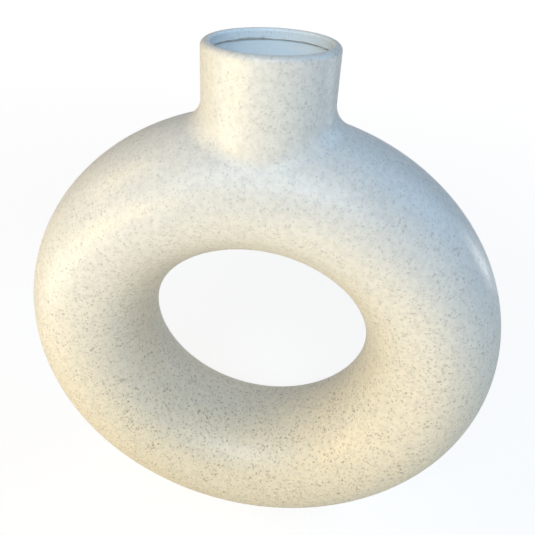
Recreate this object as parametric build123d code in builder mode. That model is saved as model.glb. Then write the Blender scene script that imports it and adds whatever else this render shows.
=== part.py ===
from build123d import *
import os
from math import sqrt

# Donut vase: a hollow ceramic ring that stands on edge, with a round neck on its top.
# The ring's axis runs front to back along Y, and the vase faces -Y. Z points up, and the
# origin is the centre of the flat that the vase stands on. All lengths are millimetres.
# Four fired pieces carry one continuous wall. Two half rings meet on the seam plane Y = 0,
# the neck brings the crown of the ring with it, and the foot closes the ring from below.

# Ring
ring_outer_diameter = 200.0
ring_hole_diameter = 94.0
ring_depth = 58.8
ring_wall = 4.2

# Neck and mouth
neck_setback = 5.6
neck_rise = 24.2
neck_wall = 2.8
neck_fillet_radius = 10.0
lip_wall = 3.3
lip_band_depth = 4.0
lip_crest_share = 0.68
lip_flat_share = 0.04

# Foot
foot_sink = 4.0
foot_height = 9.0
foot_floor = 5.0
foot_recess_depth = 1.0
standing_rim_width = 4.5

# The neck piece ends a share of its fillet radius below the lowest point of the junction.
neck_seat_drop_share = 0.5

# Ring sizes that follow
ring_outer_radius = ring_outer_diameter / 2
ring_hole_radius = ring_hole_diameter / 2
tube_half_width = (ring_outer_radius - ring_hole_radius) / 2
tube_half_depth = ring_depth / 2
tube_centre_radius = ring_hole_radius + tube_half_width
ring_centre_height = ring_outer_radius - foot_sink
ring_top_height = ring_centre_height + ring_outer_radius
tube_top_height = ring_centre_height + tube_centre_radius
ring_axis = Axis((0, 0, ring_centre_height), (0, 1, 0))

# Turned half round, the tube's oval starts at the front of the ring, or at the hole where
# the tube is wider than it is deep. The line on which the ring's surface closes on itself
# begins there, clear of the neck's junction.
oval_start_turn = 180

# Neck sizes that follow
neck_radius = tube_half_depth - neck_setback
bore_radius = neck_radius - neck_wall
mouth_radius = neck_radius - lip_wall
rim_height = ring_top_height + neck_rise
lip_band_height = rim_height - lip_band_depth
throat_radius = neck_fillet_radius + neck_wall
lip_outer_round = lip_wall * (lip_crest_share - lip_flat_share)
lip_inner_round = lip_wall * (1 - lip_crest_share)

# Heights of the two seats. The junction of neck and ring is lowest at the front and back.
junction_rise = tube_half_width * sqrt(1 - (neck_radius / tube_half_depth) ** 2)
junction_height = tube_top_height + junction_rise
neck_seat_height = junction_height - neck_fillet_radius * neck_seat_drop_share
neck_seat = Plane.XY.offset(neck_seat_height)
foot_seat = Plane.XY.offset(foot_height)
seam = Plane.XZ

# Flat that the vase stands on
flat_half_length = sqrt(ring_outer_radius**2 - ring_centre_height**2)
flat_reach = ring_centre_height - tube_centre_radius
flat_half_width = tube_half_depth * sqrt(1 - (flat_reach / tube_half_width) ** 2)


def tube_section(wall):
    """Oval through the top of the ring's tube, drawn in by a wall on every side."""
    with BuildSketch(Plane.YZ) as section:
        with Locations((0, tube_top_height)):
            Ellipse(tube_half_depth - wall, tube_half_width - wall, rotation=oval_start_turn)
    return section.sketch


def ring_with_neck(wall, radius, junction_radius):
    """Ring and neck as one solid, blended where the neck leaves the ring."""
    with BuildPart() as form:
        revolve(tube_section(wall), axis=ring_axis)
        with BuildSketch(Plane.XY.offset(tube_top_height)):
            Circle(radius)
        extrude(amount=rim_height - tube_top_height)
        neck_side = form.faces().filter_by(GeomType.CYLINDER)
        junction = neck_side.edges().filter_by(GeomType.BSPLINE)
        fillet(junction, radius=junction_radius)
    return form.part


# Space inside the vase: the tube of the ring, the bore and its narrower mouth
with BuildPart() as cavity:
    add(ring_with_neck(ring_wall, bore_radius, throat_radius))
    with BuildSketch(Plane.XY.offset(foot_floor)):
        Rectangle(ring_outer_diameter, ring_outer_diameter)
    extrude(amount=-foot_floor - foot_sink, mode=Mode.SUBTRACT)
    with BuildSketch(Plane.XY.offset(lip_band_height)):
        Circle(bore_radius)
        Circle(mouth_radius, mode=Mode.SUBTRACT)
    extrude(amount=lip_band_depth, mode=Mode.SUBTRACT)

# One wall all round, with the rounded lip and the flat to stand on
with BuildPart() as wall:
    add(ring_with_neck(0, neck_radius, neck_fillet_radius))
    split(bisect_by=Plane.XY, keep=Keep.TOP)
    add(cavity.part, mode=Mode.SUBTRACT)
    lip_edges = wall.edges().filter_by(GeomType.CIRCLE).group_by(Axis.Z)[-1].sort_by(SortBy.RADIUS)
    fillet(lip_edges[-1], radius=lip_outer_round)
    fillet(lip_edges[0], radius=lip_inner_round)

with BuildPart() as front_shell:
    add(wall.part)
    split(bisect_by=neck_seat, keep=Keep.BOTTOM)
    split(bisect_by=foot_seat, keep=Keep.TOP)
    split(bisect_by=seam, keep=Keep.TOP)

with BuildPart() as back_shell:
    mirror(front_shell.part, about=seam)

with BuildPart() as neck:
    add(wall.part)
    split(bisect_by=neck_seat, keep=Keep.TOP)

with BuildPart() as foot:
    add(wall.part)
    split(bisect_by=foot_seat, keep=Keep.BOTTOM)
    with BuildSketch(Plane.XY):
        Ellipse(flat_half_length - standing_rim_width, flat_half_width - standing_rim_width)
    extrude(amount=foot_recess_depth, mode=Mode.SUBTRACT)

front_shell.part.label = "front_shell"
back_shell.part.label = "back_shell"
neck.part.label = "neck"
foot.part.label = "foot"

os.makedirs("parts", exist_ok=True)
export_step(front_shell.part, "parts/front_shell.step")
export_step(back_shell.part, "parts/back_shell.step")
export_step(neck.part, "parts/neck.step")
export_step(foot.part, "parts/foot.step")
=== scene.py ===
from math import cos, pi, radians, sin

import bmesh
import bpy
import numpy as np
from mathutils import Matrix, Vector


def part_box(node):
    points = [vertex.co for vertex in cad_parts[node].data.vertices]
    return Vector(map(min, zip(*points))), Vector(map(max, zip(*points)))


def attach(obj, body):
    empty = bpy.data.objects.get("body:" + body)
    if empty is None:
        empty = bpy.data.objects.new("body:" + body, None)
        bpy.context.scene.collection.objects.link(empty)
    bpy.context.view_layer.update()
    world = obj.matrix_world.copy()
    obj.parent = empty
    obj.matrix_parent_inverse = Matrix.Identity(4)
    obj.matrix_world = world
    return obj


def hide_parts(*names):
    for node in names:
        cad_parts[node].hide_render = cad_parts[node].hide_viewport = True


# Looks of the donut vase: one skin for each CAD piece, four glaze and clay materials, the
# photograph's viewpoint, a pale floor and soft lamps. Lengths are metres. The ring's axis
# runs along Y, the vase faces -Y, and the origin is the centre of the flat it stands on.

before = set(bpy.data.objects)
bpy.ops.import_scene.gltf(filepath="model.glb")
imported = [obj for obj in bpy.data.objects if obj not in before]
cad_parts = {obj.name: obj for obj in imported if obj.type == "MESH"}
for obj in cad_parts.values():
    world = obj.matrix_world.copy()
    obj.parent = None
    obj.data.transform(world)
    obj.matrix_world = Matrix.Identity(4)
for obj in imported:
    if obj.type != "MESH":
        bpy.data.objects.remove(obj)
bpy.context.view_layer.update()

MM = 0.001

# Ring, with its axis front to back along Y
ring_outer_radius = 100.0 * MM
ring_hole_radius = 47.0 * MM
tube_half_depth = 29.4 * MM
ring_wall = 4.2 * MM
tube_half_width = (ring_outer_radius - ring_hole_radius) / 2
tube_centre_radius = ring_hole_radius + tube_half_width

# Foot
foot_sink = 4.0 * MM
foot_height = 9.0 * MM
foot_floor = 5.0 * MM
foot_recess_depth = 1.0 * MM
standing_rim_width = 4.5 * MM
standing_rim_round = 0.45 * MM
ring_centre_height = ring_outer_radius - foot_sink

# Neck and mouth
neck_setback = 5.6 * MM
neck_rise = 24.2 * MM
neck_wall = 2.8 * MM
neck_fillet_radius = 10.0 * MM
lip_wall = 3.3 * MM
lip_band_depth = 4.0 * MM
lip_crest_share = 0.68
lip_flat_share = 0.04
neck_radius = tube_half_depth - neck_setback
bore_radius = neck_radius - neck_wall
mouth_radius = neck_radius - lip_wall
throat_radius = neck_fillet_radius + neck_radius - bore_radius
rim_height = ring_centre_height + ring_outer_radius + neck_rise
neck_seat_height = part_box("neck")[0].z

# The glaze ends in a thin wandering line at the foot of the lip band and above the flat
mouth_line_height = 0.45 * MM
mouth_line_wave = 0.17 * MM
foot_line_height = 0.7 * MM
foot_line_wave = 0.16 * MM
foot_line_width = 0.2 * MM

# Fineness of the modelled skins, in steps
ring_steps = 360
tube_steps = 120
liner_steps = 48
neck_steps = 216
neck_wall_steps = 12
blend_steps = 18
crown_steps = 12
inner_lip_steps = 8
outer_lip_steps = 12
rim_round_steps = 6

# Order of the materials on every piece
SPECKLED, LINER, GLAZE_EDGE, RAW_CLAY = range(4)


def add_camera():
    """The camera at the photograph's viewpoint, solved from the outline of the vase."""
    azimuth, elevation, roll = radians(8.1754), radians(29.7754), radians(2.3956)
    distance = 222.334 * MM
    target = Vector((-2.158 * MM, 0, ring_centre_height + 53.279 * MM))
    image_size = 535
    focal_pixels = 562.03
    principal_x, principal_y = 257.34, 224.31
    back = Vector((sin(azimuth) * cos(elevation), -cos(azimuth) * cos(elevation), sin(elevation)))
    level_right = Vector((0, 0, 1)).cross(back).normalized()
    level_up = back.cross(level_right)
    right = cos(roll) * level_right + sin(roll) * level_up
    up = -sin(roll) * level_right + cos(roll) * level_up
    data = bpy.data.cameras.new("camera")
    data.sensor_width = 36.0
    data.lens = focal_pixels / image_size * data.sensor_width
    data.shift_x = (image_size / 2 - principal_x) / image_size
    data.shift_y = (principal_y - image_size / 2) / image_size
    data.clip_start = 10 * MM
    camera = bpy.data.objects.new("camera", data)
    bpy.context.scene.collection.objects.link(camera)
    facing = Matrix((right, up, back)).transposed().to_4x4()
    camera.matrix_world = Matrix.Translation(target + back * distance) @ facing
    bpy.context.scene.camera = camera


def unit(vectors):
    """Vectors brought to a length of one."""
    return vectors / np.linalg.norm(vectors, axis=-1, keepdims=True)


def stack(x, y, z):
    """Points or directions from their three parts, which may be rows or single numbers."""
    return np.stack(np.broadcast_arrays(x, y, z), axis=-1)


def ring_normal(points, inset):
    """Outward normal of the ring's tube, drawn in by inset, at points on it."""
    half_width, half_depth = tube_half_width - inset, tube_half_depth - inset
    x, y, z = points[..., 0], points[..., 1], points[..., 2] - ring_centre_height
    reach = np.hypot(x, z)
    across = (reach - tube_centre_radius) / half_width**2
    return unit(stack(across * x / reach, y / half_depth**2, across * z / reach))


def ring_point(turn, tilt, inset):
    """Point on the ring's tube: turn runs round the ring from its top, tilt round the tube."""
    reach = tube_centre_radius + (tube_half_width - inset) * np.cos(tilt)
    depth = (tube_half_depth - inset) * np.sin(tilt)
    return stack(reach * np.sin(turn), depth, ring_centre_height + reach * np.cos(turn))


def level_oval(height, bearing, inset):
    """Turn and tilt of the oval in which the ring's tube meets a level plane.

    The height may also be a row of heights, one for each bearing.
    """
    rise = np.abs(height - ring_centre_height)
    widest = np.arccos((rise - tube_centre_radius) / (tube_half_width - inset))
    tilt = widest * np.sin(bearing)
    reach = tube_centre_radius + (tube_half_width - inset) * np.cos(tilt)
    turn = np.sign(np.cos(bearing)) * np.arccos(np.clip(rise / reach, -1, 1))
    return np.where(height < ring_centre_height, pi - turn, turn), tilt


def junction(bearing, radius, blend, inset):
    """Where a ball of radius blend touches both the ring and an upright tube of radius."""
    half_width, half_depth = tube_half_width - inset, tube_half_depth - inset
    out = radius + blend
    wanted = out * np.abs(np.sin(bearing))
    low, high = np.zeros_like(bearing), np.full_like(bearing, pi / 2)
    halvings = 50
    for _ in range(halvings):
        tilt = (low + high) / 2
        slope = np.hypot(np.cos(tilt) / half_width, np.sin(tilt) / half_depth)
        depth = half_depth * np.sin(tilt) + blend * np.sin(tilt) / half_depth / slope
        low, high = np.where(depth < wanted, tilt, low), np.where(depth < wanted, high, tilt)
    reach = tube_centre_radius + half_width * np.cos(tilt) + blend * np.cos(tilt) / half_width / slope
    across = out * np.cos(bearing)
    rise = np.sqrt(reach**2 - across**2)
    ball = stack(across, out * np.sin(bearing), ring_centre_height + rise)
    return ball, np.arctan2(across, rise), tilt * np.sign(np.sin(bearing))


def blended_side(bearing, radius, blend, inset, top):
    """Bands down an upright tube, round its blend and over the ring to the neck's seat."""
    ball, turn, tilt = junction(bearing, radius, blend, inset)
    away = stack(np.cos(bearing), np.sin(bearing), 0 * bearing)
    wall_rows = [away * radius + stack(0, 0, top + (ball[..., 2] - top) * share)
                 for share in np.linspace(0, 1, neck_wall_steps + 1)]
    touch = ring_normal(ring_point(turn, tilt, inset), inset)
    angle = np.arccos(np.clip((away * touch).sum(-1, keepdims=True), -1, 1))
    facing = [(away * np.sin((1 - share) * angle) + touch * np.sin(share * angle)) / np.sin(angle)
              for share in np.linspace(0, 1, blend_steps + 1)]
    blend_rows = [ball - blend * normal for normal in facing]
    end_turn, end_tilt = level_oval(neck_seat_height, bearing, inset)
    ring_rows = [ring_point(turn + (end_turn - turn) * share, tilt + (end_tilt - tilt) * share, inset)
                 for share in np.linspace(0, 1, crown_steps + 1)]
    return [(wall_rows, [away] * len(wall_rows)), (blend_rows, facing),
            (ring_rows, [ring_normal(row, inset) for row in ring_rows])]


def level_band(rows, up):
    """A flat band: its rows all face straight up or down."""
    return rows, [stack(0 * row[..., 0], 0, up) for row in rows]


def flipped(band):
    """The same band run the other way, facing the other side."""
    rows, normals = band
    return rows[::-1], [-normal for normal in normals[::-1]]


def joined(name, bands, closed, capped=()):
    """A mesh of quads between the rows of every band, with the surface's own normals.

    Each band starts on the last row of the one before, and a closed mesh ends on its first row.
    Capped rows are filled with one level face each: (row, material, facing up or down).
    """
    points, faces, normals, slots = [], [], [], []
    count = len(bands[0][0][0])
    here = np.arange(count)
    after = np.roll(here, -1)
    first_row = 0
    previous = first_row
    for number, (rows, facings, slot) in enumerate(bands):
        for step, (row, facing) in enumerate(zip(rows, facings)):
            if step == 0 and number:
                index = previous
            elif closed and number == len(bands) - 1 and step == len(rows) - 1:
                index = first_row
            else:
                index = len(points) * count
                points.append(row)
            if step:
                quads = (previous + here, index + here, index + after, previous + after)
                faces.append(np.stack(quads, axis=-1))
                normals.append(np.stack((last, facing, facing[after], last[after]), axis=1))
                slots.append(np.full(count, slot))
            previous, last = index, facing
    faces, normals, slots = np.concatenate(faces), np.concatenate(normals), np.concatenate(slots)
    points = np.concatenate(points)
    corners = points[faces]
    crossed = np.cross(corners[:, 2] - corners[:, 0], corners[:, 3] - corners[:, 1])
    if (crossed * normals.mean(1)).sum() < 0:
        faces, normals = faces[:, ::-1], normals[:, ::-1]
    face_list = [list(map(int, face)) for face in faces]
    normal_list = normals.reshape(-1, 3).tolist()
    slot_list = slots.tolist()
    for row_start, slot, up in capped:
        loop = [int(v) for v in row_start * count + here]
        if up < 0:
            loop.reverse()
        face_list.append(loop)
        normal_list += [(0, 0, up)] * count
        slot_list.append(slot)
    mesh = bpy.data.meshes.new(name)
    mesh.from_pydata(points.tolist(), [], face_list)
    mesh.polygons.foreach_set("material_index", slot_list)
    mesh.polygons.foreach_set("use_smooth", [True] * len(face_list))
    mesh.normals_split_custom_set(normal_list)
    return mesh


def finished_piece(name, mesh, materials):
    """Puts the mesh in the scene on the vase's body, in place of the node of its name."""
    for material in materials:
        mesh.materials.append(material)
    piece = bpy.data.objects.new(name + "_glazed", mesh)
    bpy.context.scene.collection.objects.link(piece)
    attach(piece, "root")
    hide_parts(name)


def quarter_round(bearing, centre_radius, height, radius, start, end, steps):
    """Rows of a rounded lip edge, from angle start to angle end above the level."""
    centres = stack(centre_radius * np.cos(bearing), centre_radius * np.sin(bearing), height)
    rows, normals = [], []
    for angle in np.linspace(start, end, steps + 1):
        normal = stack(cos(angle) * np.cos(bearing), cos(angle) * np.sin(bearing), sin(angle))
        rows.append(centres + radius * normal)
        normals.append(normal)
    return rows, normals


def wavy(bearing, height, wave):
    """Heights of a glaze edge that wanders up and down as it goes round."""
    slow, middling, quick = np.sin(3 * bearing + 1), np.sin(7 * bearing), np.sin(17 * bearing + 2)
    return height + wave * (slow + 0.7 * middling + 0.35 * quick)


def neck_mesh():
    """Crown of the ring with its blended neck, bore, overhanging lip band and rounded lip."""
    bearing = np.arange(neck_steps) * 2 * pi / neck_steps
    away = stack(np.cos(bearing), np.sin(bearing), 0 * bearing)
    outer_round = lip_wall * (lip_crest_share - lip_flat_share)
    inner_round = lip_wall * (1 - lip_crest_share)
    lip_band_height = rim_height - lip_band_depth
    edge_height = wavy(bearing, mouth_line_height, mouth_line_wave)

    outside = blended_side(bearing, neck_radius, neck_fillet_radius, 0, rim_height - outer_round)
    inside = blended_side(bearing, bore_radius, throat_radius, ring_wall, lip_band_height)
    bands = [(rows, normals, SPECKLED) for rows, normals in outside]
    seat = level_band([outside[-1][0][-1], inside[-1][0][-1]], -1)
    bands.append((*seat, RAW_CLAY))
    bands += [(*flipped(band), LINER) for band in reversed(inside)]

    bore_top = away * bore_radius + stack(0, 0, lip_band_height)
    band_foot = away * mouth_radius + stack(0, 0, lip_band_height)
    edge_top = band_foot + stack(0, 0, edge_height)
    band_top = away * mouth_radius + stack(0, 0, rim_height - inner_round)
    bands.append((*level_band([bore_top, band_foot], -1), GLAZE_EDGE))
    bands.append(([band_foot, edge_top], [-away, -away], GLAZE_EDGE))
    bands.append(([edge_top, (edge_top + band_top) / 2, band_top], [-away] * 3, SPECKLED))
    inner = quarter_round(bearing, mouth_radius + inner_round, rim_height - inner_round,
                          inner_round, pi, pi / 2, inner_lip_steps)
    outer = quarter_round(bearing, neck_radius - outer_round, rim_height - outer_round,
                          outer_round, pi / 2, 0, outer_lip_steps)
    bands.append((*inner, SPECKLED))
    bands.append((*level_band([inner[0][-1], outer[0][0]], 1), SPECKLED))
    bands.append((*outer, SPECKLED))
    return joined("neck", bands, closed=True)


def foot_mesh():
    """Oval foot: its side on the ring's curve, a bare standing rim, a recess and a flat floor.

    The glaze stops in a wavy line just above the flat.
    """
    bearing = np.arange(neck_steps) * 2 * pi / neck_steps

    def ring_band(start, end, inset, steps):
        """Part of the ring's tube between two heights, each one number or one for each bearing."""
        rows = [ring_point(*level_oval(start + (end - start) * share, bearing, inset), inset)
                for share in np.linspace(0, 1, steps + 1)]
        return rows, [ring_normal(row, inset) for row in rows]

    line_foot = wavy(bearing, foot_line_height, foot_line_wave)
    line_top = line_foot + foot_line_width
    bare = ring_band(0 * bearing, line_foot, inset=0, steps=2)
    line = ring_band(line_foot, line_top, inset=0, steps=1)
    side = ring_band(line_top, foot_height, inset=0, steps=10)
    liner = flipped(ring_band(foot_floor, foot_height, inset=ring_wall, steps=4))
    flat_edge = bare[0][0]
    flat_half_length = flat_edge[..., 0].max()
    flat_half_width = flat_edge[..., 1].max()
    rim_edge = stack((flat_half_length - standing_rim_width) * np.cos(bearing),
                     (flat_half_width - standing_rim_width) * np.sin(bearing), 0)
    recess_edge = rim_edge + stack(0, 0, foot_recess_depth)
    inward = -unit(stack(np.cos(bearing) / flat_half_length, np.sin(bearing) / flat_half_width, 0))
    round_centre = rim_edge - standing_rim_round * inward + stack(0, 0, standing_rim_round)
    rounded = [], []
    for angle in np.linspace(0, pi / 2, rim_round_steps + 1):
        normal = cos(angle) * inward - stack(0, 0, sin(angle))
        rounded[0].append(round_centre + standing_rim_round * normal)
        rounded[1].append(normal)

    # Small ovals in the middle of the recess and of the floor, which are capped
    middle_share = 0.1
    recess_middle = recess_edge * (middle_share, middle_share, 1)
    floor_edge = liner[0][-1]
    floor_middle = floor_edge * (middle_share, middle_share, 1)
    bands = [
        (*level_band([recess_middle, recess_edge], -1), SPECKLED),
        ([recess_edge, rounded[0][0]], [inward, inward], RAW_CLAY),
        (*rounded, RAW_CLAY),
        (*level_band([rounded[0][-1], flat_edge], -1), RAW_CLAY),
        (*bare, RAW_CLAY),
        (*line, GLAZE_EDGE),
        (*side, SPECKLED),
        (*level_band([side[0][-1], liner[0][0]], 1), RAW_CLAY),
        (*liner, LINER),
        (*level_band([floor_edge, floor_middle], 1), LINER),
    ]
    row_count = 1 + sum(len(rows) - 1 for rows, _, _ in bands)
    return joined("foot", bands, closed=False, capped=[(0, SPECKLED, -1), (row_count - 1, LINER, 1)])


def shell_mesh(name, side):
    """Half of the hollow ring, cut level where the neck and the foot are joined to it."""
    turn = np.arange(ring_steps) * 2 * pi / ring_steps
    outer_rows = [ring_point(turn, side * tilt, 0) for tilt in np.linspace(0, pi, tube_steps + 1)]
    inner_rows = [ring_point(turn, side * tilt, ring_wall) for tilt in np.linspace(pi, 0, liner_steps + 1)]
    bands = []
    for rows, slot in ((outer_rows, SPECKLED), ([outer_rows[-1], inner_rows[0]], RAW_CLAY),
                       (inner_rows, LINER), ([inner_rows[-1], outer_rows[0]], RAW_CLAY)):
        facing = 1 if slot == SPECKLED else -1
        inset = ring_wall if slot == LINER else 0
        bands.append((rows, [facing * ring_normal(row, inset) for row in rows], slot))
    whole = joined(name, bands, closed=True)
    body = bmesh.new()
    body.from_mesh(whole)
    tolerance = 1e-7
    for height, up in ((neck_seat_height, 1), (foot_height, -1)):
        everything = body.verts[:] + body.edges[:] + body.faces[:]
        cut = bmesh.ops.bisect_plane(body, geom=everything, dist=tolerance, plane_co=(0, 0, height),
                                     plane_no=(0, 0, up), clear_outer=True)
        rim = [part for part in cut["geom_cut"] if isinstance(part, bmesh.types.BMEdge)]
        for face in bmesh.ops.contextual_create(body, geom=rim)["faces"]:
            face.material_index = RAW_CLAY
            face.smooth = True
    bmesh.ops.recalc_face_normals(body, faces=body.faces[:])
    mesh = bpy.data.meshes.new(name)
    body.to_mesh(mesh)
    body.free()
    bpy.data.meshes.remove(whole)

    # The surface's own normals at every corner of every face
    normals = []
    for face in mesh.polygons:
        points = np.array([mesh.vertices[index].co for index in face.vertices])
        if face.material_index == SPECKLED:
            normals += ring_normal(points, 0).tolist()
        elif face.material_index == LINER:
            normals += (-ring_normal(points, ring_wall)).tolist()
        else:
            normals += [list(face.normal)] * len(points)
    mesh.normals_split_custom_set(normals)
    return mesh


def feed(tree, socket, value):
    """Gives an input its value, or links it to the output that feeds it."""
    if isinstance(value, bpy.types.NodeSocket):
        tree.links.new(value, socket)
    else:
        socket.default_value = value


def add_node(tree, kind, inputs, **settings):
    """A shader node with its settings made and its inputs fed."""
    made = tree.nodes.new("ShaderNode" + kind)
    for name, value in settings.items():
        setattr(made, name, value)
    for name, value in inputs.items():
        feed(tree, made.inputs[name], value)
    return made


def scalar(tree, operation, *values):
    """The number that a math node makes of the values."""
    made = tree.nodes.new("ShaderNodeMath")
    made.operation = operation
    for socket, value in zip(made.inputs, values):
        feed(tree, socket, value)
    return made.outputs["Value"]


def vector(tree, operation, *values):
    """What a vector math node makes of the values: a vector, or a number for a product or length."""
    made = tree.nodes.new("ShaderNodeVectorMath")
    made.operation = operation
    for socket, value in zip(made.inputs, values):
        feed(tree, socket, value)
    return made.outputs["Value" if operation in ("DOT_PRODUCT", "LENGTH") else "Vector"]


def scaled(tree, direction, factor):
    """A vector made longer or shorter by a number."""
    made = tree.nodes.new("ShaderNodeVectorMath")
    made.operation = "SCALE"
    feed(tree, made.inputs[0], direction)
    feed(tree, made.inputs["Scale"], factor)
    return made.outputs["Vector"]


def ramp(tree, value, start, end, low=0.0, high=1.0):
    """A soft step: low where value is at start or before it, high from end on."""
    inputs = {"Value": value, "From Min": start, "From Max": end, "To Min": low, "To Max": high}
    return add_node(tree, "MapRange", inputs, interpolation_type="SMOOTHSTEP").outputs["Result"]


def mixed(tree, share, first, second):
    """Two colours mixed: the first where share is 0, the second where it is 1."""
    made = tree.nodes.new("ShaderNodeMix")
    made.data_type = "RGBA"
    factor, colour_a, colour_b, result = 0, 6, 7, 2
    for index, value in ((factor, share), (colour_a, first), (colour_b, second)):
        feed(tree, made.inputs[index], value)
    return made.outputs[result]


def mixed_shader(tree, share, first, second):
    """Two shaders mixed: the first where share is 0, the second where it is 1."""
    made = tree.nodes.new("ShaderNodeMixShader")
    for socket, value in zip(made.inputs, (share, first, second)):
        feed(tree, socket, value)
    return made.outputs[0]


def noise(tree, place, grain, detail=2.0):
    """Smooth noise from 0 to 1 whose lumps are about one grain across."""
    inputs = {"Vector": place, "Scale": 1 / grain, "Detail": detail, "Roughness": 0.5}
    return add_node(tree, "TexNoise", inputs).outputs


def colour(red, green, blue):
    """An opaque colour."""
    return red, green, blue, 1.0


def surface_base(name):
    """A new material with its shader, and the place on the vase that its patterns follow."""
    material = bpy.data.materials.new(name)
    material.use_nodes = True
    tree = material.node_tree
    shader = tree.nodes["Principled BSDF"]
    place = tree.nodes.new("ShaderNodeTexCoord").outputs["Object"]
    return material, tree, shader, place


def relief(tree, shader, *layers):
    """Bump from layers of (height pattern, depth in metres), the widest first."""
    normal = None
    for pattern, depth in layers:
        inputs = {"Height": pattern, "Distance": depth, "Strength": 1.0}
        if normal:
            inputs["Normal"] = normal
        normal = add_node(tree, "Bump", inputs).outputs["Normal"]
    tree.links.new(normal, shader.inputs["Normal"])


def speckles(tree, place, spacing, half_width, longest, present_share):
    """Soft spots, at most one to a cell of the spacing, each drawn out its own way.

    The longest are drawn out that many times, and present_share of the cells have a spot. The
    value is the spot's depth of colour, from 0 beside it to 1 in the middle of the darkest.
    """
    cells = add_node(tree, "TexVoronoi", {"Vector": place, "Scale": 1 / spacing, "Randomness": 1.0})
    middle = cells.outputs["Position"]
    away = vector(tree, "SUBTRACT", place, middle)
    chance = add_node(tree, "TexWhiteNoise", {"Vector": scaled(tree, middle, 1 / spacing)})
    own = tree.nodes.new("ShaderNodeSeparateColor")
    tree.links.new(chance.outputs["Color"], own.inputs["Color"])
    stretch_chance, size_chance, depth_chance = own.outputs

    signed = vector(tree, "SUBTRACT", cells.outputs["Color"], (0.5, 0.5, 0.5))
    along = vector(tree, "DOT_PRODUCT", away, vector(tree, "NORMALIZE", signed))
    stretch = scalar(tree, "MULTIPLY_ADD", stretch_chance, longest - 1, 1.0)
    kept = scalar(tree, "DIVIDE", 1.0, scalar(tree, "MULTIPLY", stretch, stretch))
    along_squared = scalar(tree, "MULTIPLY", along, along)
    cut = scalar(tree, "MULTIPLY", along_squared, scalar(tree, "SUBTRACT", 1.0, kept))
    reach = scalar(tree, "SQRT", scalar(tree, "SUBTRACT", vector(tree, "DOT_PRODUCT", away, away), cut))

    # The spots are from 0.6 to 1.6 times half_width, with a soft edge
    smallest_share = 0.6
    edge_outside, edge_inside = 1.25, 0.35
    edge = scalar(tree, "MULTIPLY_ADD", size_chance, half_width, smallest_share * half_width)
    spot = ramp(tree, scalar(tree, "DIVIDE", reach, edge), edge_outside, edge_inside)
    depth = ramp(tree, depth_chance, 1 - present_share, 1.0)
    return scalar(tree, "MULTIPLY", spot, scalar(tree, "SQRT", depth))


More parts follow.
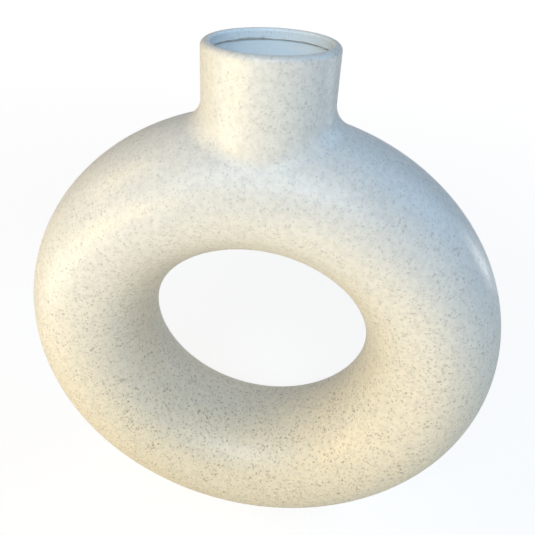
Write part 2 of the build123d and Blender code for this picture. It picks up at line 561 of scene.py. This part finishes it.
def speckled_glaze():
    """Satin cream glaze with grey-brown iron speckles, softer on the crown and the neck."""
    material, tree, shader, place = surface_base("speckled_glaze")
    parts = tree.nodes.new("ShaderNodeSeparateXYZ")
    tree.links.new(place, parts.inputs["Vector"])
    height = parts.outputs["Z"]

    # Fine freckles and fewer large spots, with irregular outlines. The large ones follow their
    # own pattern, which is the same one taken from elsewhere.
    outline_grain, outline_shift = 0.9 * MM, 0.6 * MM
    wobble = vector(tree, "SUBTRACT", noise(tree, place, outline_grain)["Color"], (0.5, 0.5, 0.5))
    loose = vector(tree, "ADD", place, scaled(tree, wobble, outline_shift))
    freckles = speckles(tree, loose, spacing=1.08 * MM, half_width=0.30 * MM,
                        longest=3.4, present_share=0.95)
    elsewhere = vector(tree, "ADD", loose, (31 * MM, 17 * MM, 43 * MM))
    large_spots = speckles(tree, elsewhere, spacing=2.3 * MM, half_width=0.43 * MM,
                           longest=2.2, present_share=0.6)
    spots = scalar(tree, "MAXIMUM", freckles, large_spots)

    # They fade towards the rim, and they are fainter in patches
    full_below, faint_above, faintest = 70 * MM, 190 * MM, 0.46
    fade = ramp(tree, height, full_below, faint_above, low=1.0, high=faintest)
    patch_grain, faintest_patch = 7 * MM, 0.55
    patches = noise(tree, place, patch_grain)["Fac"]
    patches = ramp(tree, patches, start=0.3, end=0.65, low=faintest_patch, high=1.0)
    spots = scalar(tree, "MULTIPLY", spots, scalar(tree, "MULTIPLY", fade, patches))

    # Painted cool light: in the mouth the glaze is painted paler and cooler for the cool light that falls
    # in there, and it has fewer spots
    mouth_painted_light_share, lost_spots = 0.9, 0.35
    mouth_painted_cool_light = colour(0.88, 0.95, 0.98)
    out = vector(tree, "LENGTH", vector(tree, "MULTIPLY", place, (1.0, 1.0, 0.0)))
    within_lip = ramp(tree, out, mouth_radius + 0.5 * lip_wall, mouth_radius)
    near_rim = ramp(tree, height, rim_height - 2 * lip_band_depth, rim_height - 1.5 * lip_band_depth)
    mouth = scalar(tree, "MULTIPLY", within_lip, near_rim)
    spots = scalar(tree, "MULTIPLY", spots, scalar(tree, "MULTIPLY_ADD", mouth, -lost_spots, 1.0))

    # Cloudy drift of the cream between the spots
    cloud_grain = 26 * MM
    crown_cream, crown_cloud = colour(0.765, 0.765, 0.755), colour(0.74, 0.74, 0.735)
    clouds = ramp(tree, noise(tree, place, cloud_grain)["Fac"], start=0.35, end=0.65)
    cream = mixed(tree, clouds, crown_cream, crown_cloud)

    # Painted warm light from below: the cream, grey and iron are painted warmer and browner towards the
    # foot
    most_painted_warmth = 0.9
    painted_warmth = ramp(tree, height, 0.0, ring_centre_height + tube_centre_radius, low=most_painted_warmth, high=0.0)
    cream = mixed(tree, painted_warmth, cream, colour(0.80, 0.725, 0.56))
    grey = mixed(tree, painted_warmth, colour(0.58, 0.59, 0.59), colour(0.60, 0.555, 0.475))
    iron = mixed(tree, painted_warmth, colour(0.26, 0.265, 0.27), colour(0.28, 0.21, 0.13))

    # Fine grey mottle, then the mouth and the spots
    mottle_grain, most_grey = 2.0 * MM, 0.46
    mottle = noise(tree, loose, mottle_grain, detail=3.0)["Fac"]
    greyness = ramp(tree, mottle, start=0.35, end=0.7, low=0.0, high=most_grey)
    cream = mixed(tree, greyness, cream, grey)
    # Painted cool light: the mouth is painted pale blue
    cream = mixed(tree, scalar(tree, "MULTIPLY", mouth, mouth_painted_light_share), cream, mouth_painted_cool_light)
    spot_depth = 0.81
    spotted = mixed(tree, scalar(tree, "MULTIPLY", spots, spot_depth), cream, iron)
    tree.links.new(spotted, shader.inputs["Base Color"])

    smoothest, mottle_roughness, spot_roughness = 0.30, 0.10, 0.08
    rough = scalar(tree, "MULTIPLY_ADD", mottle, mottle_roughness, smoothest)
    rough = scalar(tree, "MULTIPLY_ADD", spots, spot_roughness, rough)
    tree.links.new(rough, shader.inputs["Roughness"])
    swell_grain, swell_depth, mottle_depth = 14 * MM, 0.25 * MM, 0.02 * MM
    relief(tree, shader, (noise(tree, place, swell_grain)["Fac"], swell_depth), (mottle, mottle_depth))
    return material


def liner_glaze():
    """The plain pale glaze inside, smoother and without speckles, painted a cool blue for the cool light
    in the mouth.
    """
    material, tree, shader, place = surface_base("liner_glaze")
    shader.inputs["Roughness"].default_value = 0.24
    cloud_grain = 9 * MM
    # Painted cool light: the pale glaze is painted blue-white for the cool light that falls in the mouth
    pale, pale_cloud = colour(0.86, 0.93, 0.96), colour(0.83, 0.90, 0.94)
    clouds = ramp(tree, noise(tree, place, cloud_grain, detail=3.0)["Fac"], start=0.35, end=0.65)
    tree.links.new(mixed(tree, clouds, pale, pale_cloud), shader.inputs["Base Color"])
    swell_grain, swell_depth = 7 * MM, 0.12 * MM
    relief(tree, shader, (noise(tree, place, swell_grain)["Fac"], swell_depth))
    return material


def glaze_edge():
    """The narrow grey-brown line where the glaze ends."""
    material, tree, shader, place = surface_base("glaze_edge")
    shader.inputs["Roughness"].default_value = 0.5
    patch_grain, relief_depth = 3.5 * MM, 0.05 * MM
    dark, light = colour(0.33, 0.315, 0.29), colour(0.52, 0.50, 0.47)
    patches = noise(tree, place, patch_grain)["Fac"]
    line = mixed(tree, ramp(tree, patches, start=0.3, end=0.7), dark, light)
    tree.links.new(line, shader.inputs["Base Color"])
    relief(tree, shader, (patches, relief_depth))
    return material


def raw_clay():
    """Bare fired clay: matt, sandy and slightly toasted."""
    material, tree, shader, place = surface_base("raw_clay")
    shader.inputs["Roughness"].default_value = 0.85
    shader.inputs["Specular IOR Level"].default_value = 0.25
    clay, toasted_clay = colour(0.62, 0.50, 0.37), colour(0.52, 0.40, 0.28)
    dark_sand, dark_grit = colour(0.34, 0.26, 0.18), colour(0.14, 0.10, 0.07)
    sand_grain, toast_grain, most_sand = 0.5 * MM, 8 * MM, 0.6
    sand = noise(tree, place, sand_grain, detail=3.0)["Fac"]
    toast = noise(tree, place, toast_grain)["Fac"]
    body = mixed(tree, ramp(tree, toast, start=0.3, end=0.7), clay, toasted_clay)
    body = mixed(tree, ramp(tree, sand, start=0.5, end=0.75, high=most_sand), body, dark_sand)
    grit = speckles(tree, place, spacing=1.6 * MM, half_width=0.22 * MM, longest=1.3, present_share=0.4)
    body = mixed(tree, grit, body, dark_grit)
    tree.links.new(body, shader.inputs["Base Color"])
    relief_depth = 0.08 * MM
    relief(tree, shader, (sand, relief_depth))
    return material


def seen_share(tree):
    """1 for what the camera sees, also through glass, less in a reflection, 0 for plain light.

    Reflections are dimmed to follow the dark edges in the photograph.
    """
    path = tree.nodes.new("ShaderNodeLightPath").outputs
    mirror_share = 0.35
    mirrored = scalar(tree, "MULTIPLY", path["Is Glossy Ray"], mirror_share)
    shown = scalar(tree, "MAXIMUM", path["Is Camera Ray"], mirrored)
    return scalar(tree, "MAXIMUM", shown, path["Is Transmission Ray"])


def add_world():
    """A surround that is white to the camera and grey in reflections, and gives faint pale light."""
    world = bpy.data.worlds.new("surround")
    world.use_nodes = True
    tree = world.node_tree
    dim, white = colour(0.09, 0.10, 0.11), colour(1, 1, 1)
    surround = mixed(tree, seen_share(tree), dim, white)
    tree.links.new(surround, tree.nodes["Background"].inputs["Color"])
    bpy.context.scene.world = world


def floor_material():
    """Pale floor: white to the camera, with the vase's shadow on it, and greyer in reflections.

    The light that it sends up to the vase is that of a warm pale board.
    """
    material = bpy.data.materials.new("floor")
    material.use_nodes = True
    tree = material.node_tree
    tree.nodes.remove(tree.nodes["Principled BSDF"])
    white = colour(1, 1, 1)
    shade_colour = colour(0.30, 0.30, 0.30)
    bounce_colour = colour(0.80, 0.75, 0.64)
    glow_strength = 0.79
    shadow_reach, white_from = 0.15, 0.9
    bounce = add_node(tree, "BsdfDiffuse", {"Color": bounce_colour}).outputs[0]
    shade = add_node(tree, "BsdfDiffuse", {"Color": shade_colour}).outputs[0]
    glow = add_node(tree, "Emission", {"Color": white, "Strength": glow_strength}).outputs[0]
    near = add_node(tree, "AddShader", {0: shade, 1: glow}).outputs[0]
    far = add_node(tree, "Emission", {"Color": white, "Strength": 1.0}).outputs[0]
    place = tree.nodes.new("ShaderNodeTexCoord").outputs["Object"]
    away = ramp(tree, vector(tree, "LENGTH", place), shadow_reach, white_from)
    surface = mixed_shader(tree, seen_share(tree), bounce, mixed_shader(tree, away, near, far))
    tree.links.new(surface, tree.nodes["Material Output"].inputs["Surface"])
    return material


def add_floor():
    """A wide level floor under the vase, which is no part of it."""
    half = 3.0
    corners = [(-half, -half, 0), (half, -half, 0), (half, half, 0), (-half, half, 0)]
    mesh = bpy.data.meshes.new("floor")
    mesh.from_pydata(corners, [], [(0, 1, 2, 3)])
    mesh.materials.append(floor_material())
    floor = bpy.data.objects.new("floor", mesh)
    bpy.context.scene.collection.objects.link(floor)


def toward(azimuth, elevation):
    """Direction in degrees: azimuth 0 is in front of the vase, 90 on the photograph's right."""
    azimuth, elevation = radians(azimuth), radians(elevation)
    return Vector((sin(azimuth) * cos(elevation), -cos(azimuth) * cos(elevation), sin(elevation)))


def add_lamp(name, place, facing, width, height, power, tint):
    """A soft panel that the camera doesn't see."""
    data = bpy.data.lights.new(name, "AREA")
    data.shape = "RECTANGLE"
    data.size, data.size_y = width, height
    data.energy = power
    data.color = tint
    lamp = bpy.data.objects.new(name, data)
    bpy.context.scene.collection.objects.link(lamp)
    lamp.matrix_world = Matrix.Translation(place) @ facing.to_track_quat("-Z", "Y").to_matrix().to_4x4()
    lamp.visible_camera = False
    return lamp


def add_lighting():
    """Soft daylight, cool from above and the right and warm from the left, with a fill behind.

    This isn't plain studio light: the tints follow the mixed light in the photograph. A scratch
    program chose six of these lamps from a longer list and fitted their powers to it, and their
    blends of white, cool and warm. The cool and the warm tint and the powers of strip_right and
    fill_behind were set one by one.
    """
    middle = Vector((0, 0, ring_centre_height))
    plain = (1.0, 0.98, 0.95)
    cool = (0.30, 0.64, 1.00)
    warm = (1.00, 0.68, 0.20)
    # Name, azimuth, elevation, distance, width, height, power and tint
    panels = (
        ("sky_front", -2, 36, 1.2, 1.2, 0.7, 10.50, (0.73, 0.87, 1.00)),
        ("sky_right", 100, 36, 1.2, 0.7, 0.7, 2.95, cool),
        ("window_far_left", -82, 28, 1.2, 0.5, 0.5, 2.89, warm),
        ("glow_low", -45, 0, 0.8, 0.45, 0.18, 2.08, warm),
        ("strip_right", 121, -1, 0.7, 0.04, 0.19, 0.3, plain),
        ("fill_behind", 180, 10, 1.2, 1.2, 0.4, 4.5, plain),
    )
    for name, azimuth, elevation, distance, width, height, power, tint in panels:
        back = toward(azimuth, elevation)
        lamp = add_lamp(name, middle + distance * back, -back, width, height, power, tint)
        # The fill makes no highlight
        lamp.visible_glossy = name != "fill_behind"

    # Two boards just above the floor send light up
    # Name, azimuth, distance, width, height, power and tint
    boards = (
        ("pale_board", -60, 0.55, 0.4, 0.4, 1.56, (0.99, 1.00, 0.91)),
        ("warm_board", 0, 0.2, 0.35, 0.2, 0.18, warm),
    )
    up = Vector((0, 0, 1))
    lift = 2 * MM * up
    for name, azimuth, distance, width, height, power, tint in boards:
        add_lamp(name, distance * toward(azimuth, 0) + lift, up, width, height, power, tint)


add_camera()

materials = [speckled_glaze(), liner_glaze(), glaze_edge(), raw_clay()]
finished_piece("front_shell", shell_mesh("front_shell", -1), materials)
finished_piece("back_shell", shell_mesh("back_shell", 1), materials)
finished_piece("neck", neck_mesh(), materials)
finished_piece("foot", foot_mesh(), materials)

add_floor()
add_world()
add_lighting()
bpy.context.scene.view_settings.view_transform = "Standard"
